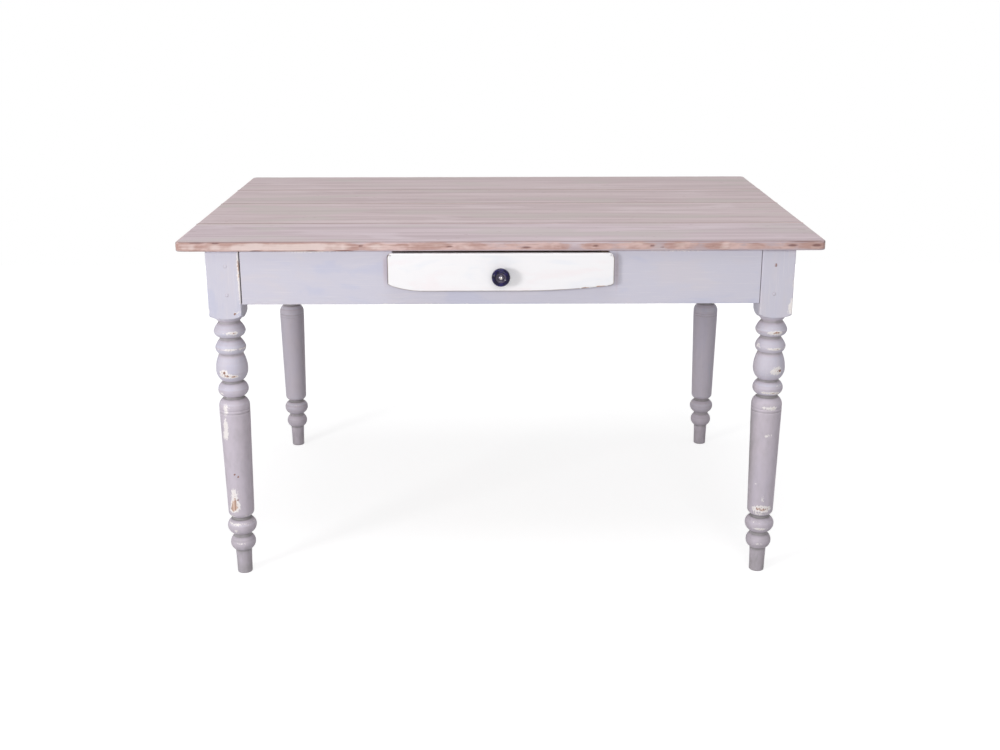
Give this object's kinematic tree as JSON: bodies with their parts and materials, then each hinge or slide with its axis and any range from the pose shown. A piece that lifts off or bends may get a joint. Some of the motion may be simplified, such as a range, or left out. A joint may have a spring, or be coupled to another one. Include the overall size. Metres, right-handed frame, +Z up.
{
  "type": "kitchen table with a drawer",
  "caption": "Rectangular farmhouse table with a boarded top, square-blocked turned legs, aprons and a lipped front drawer that slides out.",
  "frame": {"origin": "on the floor under the middle of the whole table, knob included", "axes": "+X along the table's length, to the right of someone facing the drawer; -Y towards the drawer front; +Z up"},
  "size_m": [1.36, 0.9614, 0.77],
  "materials": {
    "limed_top": "limed and waxed",
    "grey_paint": "worn satin paint",
    "white_paint": "brushed satin paint",
    "painted_pegs": "painted over",
    "bare_softwood": "planed, unfinished",
    "drawer_softwood": "planed, unfinished",
    "glazed_ceramic": "glossy glaze",
    "plated_brass": "polished plate",
    "steel_screws": "dull",
    "iron_nails": "oxidised"
  },
  "bodies": {
    "table_frame": {"tabletop_board_1": "limed_top", "tabletop_board_2": "limed_top", "tabletop_board_3": "limed_top", "tabletop_board_4": "limed_top", "leg_front_left": "grey_paint", "leg_front_right": "grey_paint", "leg_back_left": "grey_paint", "leg_back_right": "grey_paint", "apron_front": "grey_paint", "apron_back": "grey_paint", "apron_left": "grey_paint", "apron_right": "grey_paint", "tenon_pegs": "painted_pegs", "drawer_guide_left": "bare_softwood", "drawer_guide_right": "bare_softwood", "drawer_runner_left": "bare_softwood", "drawer_runner_right": "bare_softwood", "tabletop_buttons": "bare_softwood", "runner_screws": "steel_screws", "button_screws": "steel_screws"},
    "drawer": {"drawer_front": "white_paint", "drawer_side_left": "drawer_softwood", "drawer_side_right": "drawer_softwood", "drawer_back": "drawer_softwood", "drawer_bottom": "drawer_softwood", "drawer_nails": "iron_nails", "knob_collar": "plated_brass", "knob_body": "glazed_ceramic", "knob_bolt": "plated_brass", "knob_washer": "steel_screws", "knob_nut": "steel_screws"}
  },
  "joints": [
    {"name": "drawer_slide", "type": "slide", "parent": "table_frame", "child": "drawer", "axis": [0, -1, 0], "range_m": [0, 0.36]}
  ]
}
